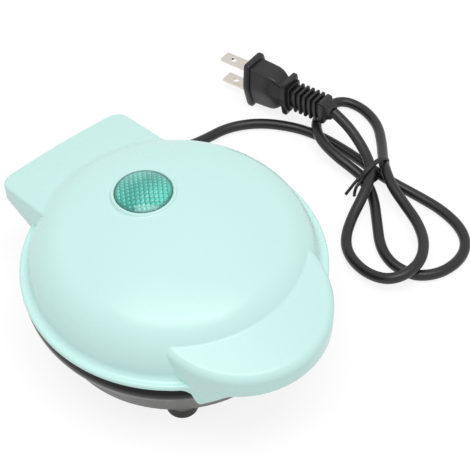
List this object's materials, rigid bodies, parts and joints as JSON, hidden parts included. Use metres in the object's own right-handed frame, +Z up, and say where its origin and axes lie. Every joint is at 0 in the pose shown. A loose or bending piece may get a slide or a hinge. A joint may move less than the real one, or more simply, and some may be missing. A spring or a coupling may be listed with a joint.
{
  "type": "round waffle maker",
  "caption": "Small round countertop waffle maker with a hinged domed lid, a round front handle, an indicator lens, four feet and a tied mains cord with its plug.",
  "frame": {"origin": "under the middle of the cooking plates, on the surface that the feet stand on", "axes": "+Z up, +Y from the handle towards the hinge, +X to the right when the handle faces the user"},
  "size_m": [0.2166, 0.1746, 0.069],
  "materials": {
    "lid_plastic": "high gloss moulded mint green",
    "base_plastic": "glossy black band, fine satin bowl",
    "lens_plastic": "tinted clear lens with a small diamond pattern inside",
    "foot_rubber": "matt rubber",
    "nonstick_plate": "dark non-stick coating on cast aluminium",
    "liner_metal": "brushed aluminium sheet",
    "heater_sheath": "heat-tinted steel sheath",
    "steel_screw": "zinc plated",
    "ceramic_white": "white ceramic and moulded resin",
    "wire_sleeve": "glass-fibre sleeve",
    "lamp_glass": "clear neon lamp",
    "cord_jacket": "semi-matt black jacket",
    "tie_wire": "black coated wire",
    "nickel_blade": "warm nickel plate"
  },
  "bodies": {
    "base": {"base_shell": "base_plastic", "bottom_cover": "base_plastic", "bottom_screws": "steel_screw", "foot_front_left": "foot_rubber", "foot_front_right": "foot_rubber", "foot_rear_left": "foot_rubber", "foot_rear_right": "foot_rubber", "plate_ring": "liner_metal", "lower_plate": "nonstick_plate", "lower_plate_screws": "steel_screw", "lower_heater": "heater_sheath", "lower_reflector": "liner_metal", "lower_thermostat": "ceramic_white", "thermal_fuse": "ceramic_white", "terminal_block": "ceramic_white", "base_harness": "wire_sleeve", "inner_cord": "cord_jacket", "cord_clamp": "base_plastic", "clamp_screws": "steel_screw", "hinge_pin": "steel_screw", "pin_clips": "steel_screw", "strain_relief": "cord_jacket", "power_cord": "cord_jacket", "cord_hank": "cord_jacket", "cord_tie": "tie_wire", "plug_body": "cord_jacket", "plug_blades": "nickel_blade"},
    "lid": {"lid_cover": "lid_plastic", "indicator_lens": "lens_plastic", "lens_retainer": "lid_plastic", "indicator_lamp": "lamp_glass", "lamp_holder": "ceramic_white", "lid_liner": "liner_metal", "liner_screws": "steel_screw", "upper_plate": "nonstick_plate", "upper_plate_screws": "steel_screw", "upper_heater": "heater_sheath", "upper_reflector": "liner_metal", "upper_thermostat": "ceramic_white", "lid_harness": "wire_sleeve"}
  },
  "joints": [
    {"name": "lid_hinge", "type": "hinge", "parent": "base", "child": "lid", "pos_m": [0, 0.0693, 0.037], "axis": [-1, 0, 0], "range_deg": [0, 95]}
  ]
}
